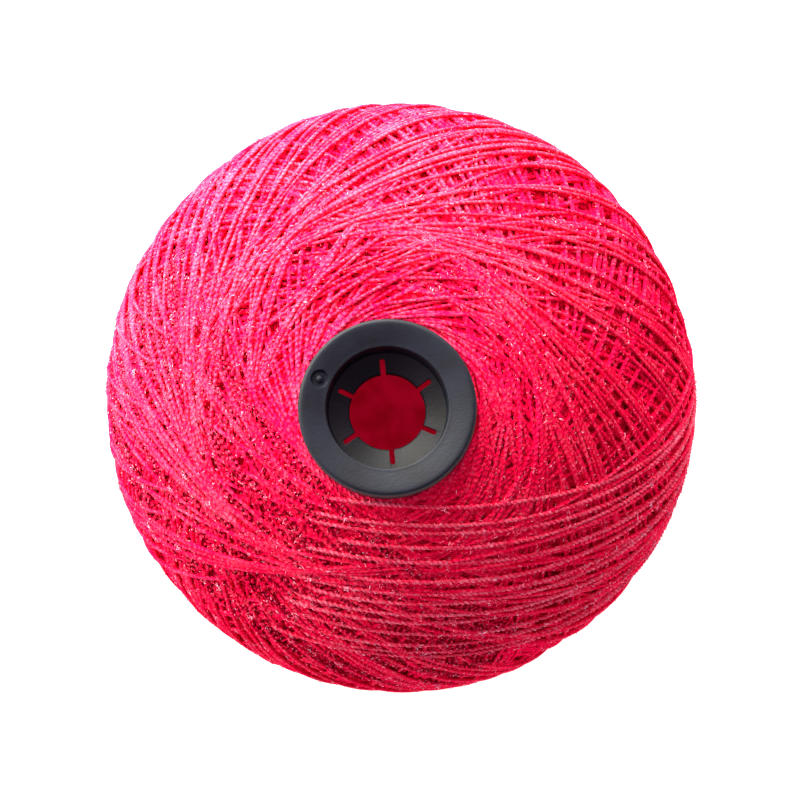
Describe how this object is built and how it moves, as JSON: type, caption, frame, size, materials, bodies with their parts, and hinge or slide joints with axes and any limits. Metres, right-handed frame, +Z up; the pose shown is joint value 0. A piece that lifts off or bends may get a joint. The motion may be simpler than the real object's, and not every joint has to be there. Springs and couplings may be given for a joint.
{
  "type": "woven garland ball",
  "caption": "Hollow ball of wound yarn with a round moulded eyelet on top that a small string-light lamp pushes into.",
  "frame": {"origin": "centre of the flat spot that the ball stands on", "axes": "+Z up, parallel to the eyelet's axis; the eyelet sits a little towards -Y on top of the ball"},
  "size_m": [0.0598, 0.0596, 0.0604],
  "materials": {
    "yarn": "fuzzy two-ply cotton yarn, stiffened",
    "eyelet": "moulded, finely textured"
  },
  "bodies": {
    "root": {"wound_ball": "yarn", "eyelet": "eyelet"}
  },
  "joints": []
}
